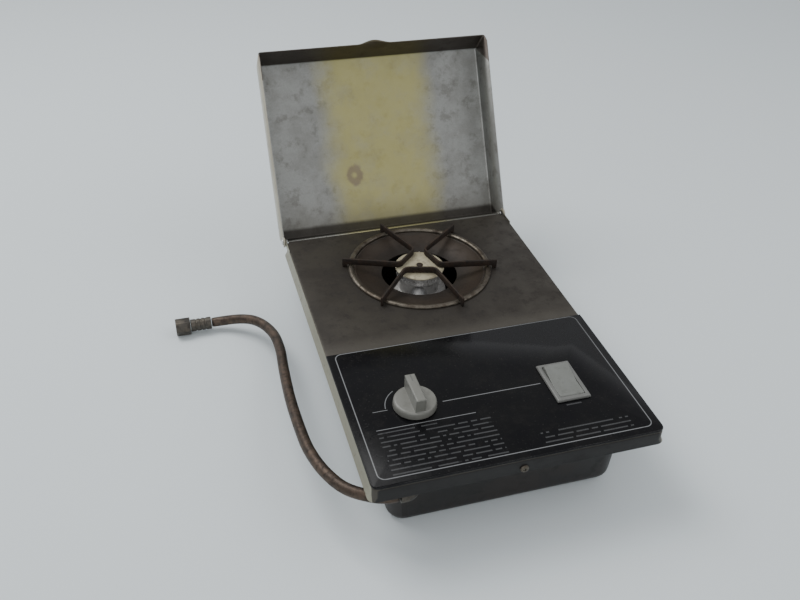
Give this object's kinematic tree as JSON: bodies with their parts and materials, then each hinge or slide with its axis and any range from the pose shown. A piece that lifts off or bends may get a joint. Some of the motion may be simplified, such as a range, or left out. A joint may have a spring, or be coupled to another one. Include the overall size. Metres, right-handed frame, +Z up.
{
  "type": "camping stove",
  "caption": "Portable gas stove: a deck pan over a deep tub, one burner under a bar grate, a hinged lid, a control fascia with knob and rocker, and a bent gas pipe.",
  "frame": {"origin": "centre of the tub's flat underside, on the table", "axes": "+X right, +Y to the rear where the lid is hinged, +Z up"},
  "size_m": [0.4559, 0.5872, 0.2988],
  "materials": {
    "worn_deck_steel": "worn, sooty",
    "dark_enamel": "satin enamel",
    "gloss_black_fascia": "gloss",
    "dull_sheet": "dull, stained",
    "rusty_bar_steel": "rusty",
    "worn_ring_steel": "worn",
    "cast_aluminium": "dull cast",
    "cream_cap": "matt",
    "grey_plastic": "semi-gloss",
    "plated_steel": "plated",
    "brass": "plain",
    "tarnished_copper": "tarnished copper",
    "white_ceramic": null,
    "black_rubber": "matt",
    "black_plastic": "matt"
  },
  "bodies": {
    "stove": {"deck_plate": "worn_deck_steel", "tub": "dark_enamel", "control_fascia": "gloss_black_fascia", "front_screw": "plated_steel", "hinge_pin_left": "plated_steel", "hinge_pin_right": "plated_steel", "lid_stop": "plated_steel", "burner_body": "cast_aluminium", "burner_cap": "cream_cap", "burner_cap_screw": "plated_steel", "burner_bracket": "plated_steel", "electrode_ceramic": "white_ceramic", "electrode_wire": "plated_steel", "igniter_lead": "black_rubber", "valve_bracket": "plated_steel", "valve_body": "brass", "valve_nut": "plated_steel", "gas_jet": "brass", "mixing_tube": "plated_steel", "inlet_elbow": "brass", "inlet_nut": "plated_steel", "supply_tube": "tarnished_copper", "gas_pipe": "tarnished_copper", "pipe_sleeve": "brass", "igniter_bezel": "grey_plastic", "igniter_rocker_pin": "plated_steel", "piezo_body": "black_plastic", "tub_screw_1": "plated_steel", "tub_screw_2": "plated_steel", "tub_screw_3": "plated_steel", "tub_screw_4": "plated_steel"},
    "lid": {"lid": "dull_sheet"},
    "knob": {"knob": "grey_plastic", "valve_stem": "plated_steel"},
    "igniter_rocker": {"igniter_rocker": "grey_plastic"},
    "piezo_plunger": {"piezo_plunger": "plated_steel"},
    "flare_nut": {"flare_nut": "plated_steel"},
    "grate": {"grate_ring": "worn_ring_steel", "grate_bar_1": "rusty_bar_steel", "grate_bar_2": "rusty_bar_steel", "grate_bar_3": "rusty_bar_steel"}
  },
  "joints": [
    {"name": "lid_hinge", "type": "hinge", "parent": "stove", "child": "lid", "pos_m": [0, 0.2215, 0.088], "axis": [1, 0, 0], "range_deg": [0, 119]},
    {"name": "knob_turn", "type": "hinge", "parent": "stove", "child": "knob", "pos_m": [-0.08, -0.12, 0.0943], "axis": [0, 0, 1], "range_deg": [0, 90]},
    {"name": "rocker_tip", "type": "hinge", "parent": "stove", "child": "igniter_rocker", "pos_m": [0.08, -0.1265, 0.089], "axis": [1, 0, 0], "range_deg": [-8, 0]},
    {"name": "plunger_slide", "type": "slide", "parent": "stove", "child": "piezo_plunger", "axis": [0, 0, 1], "range_m": [-0.00195, 0], "stiffness_N_per_m": 1000, "springref_m": 0.002},
    {"name": "flare_nut_turn", "type": "hinge", "parent": "stove", "child": "flare_nut", "pos_m": [-0.29, 0.176, 0.0113], "axis": [1, 0, 0], "continuous": true},
    {"name": "grate_lift", "type": "slide", "parent": "stove", "child": "grate", "axis": [0, 0, -1], "range_m": [-0.04, 0]}
  ],
  "couplings": [
    {"joint": "rocker_tip", "follows": "plunger_slide", "rad_per_m": 71.429}
  ]
}
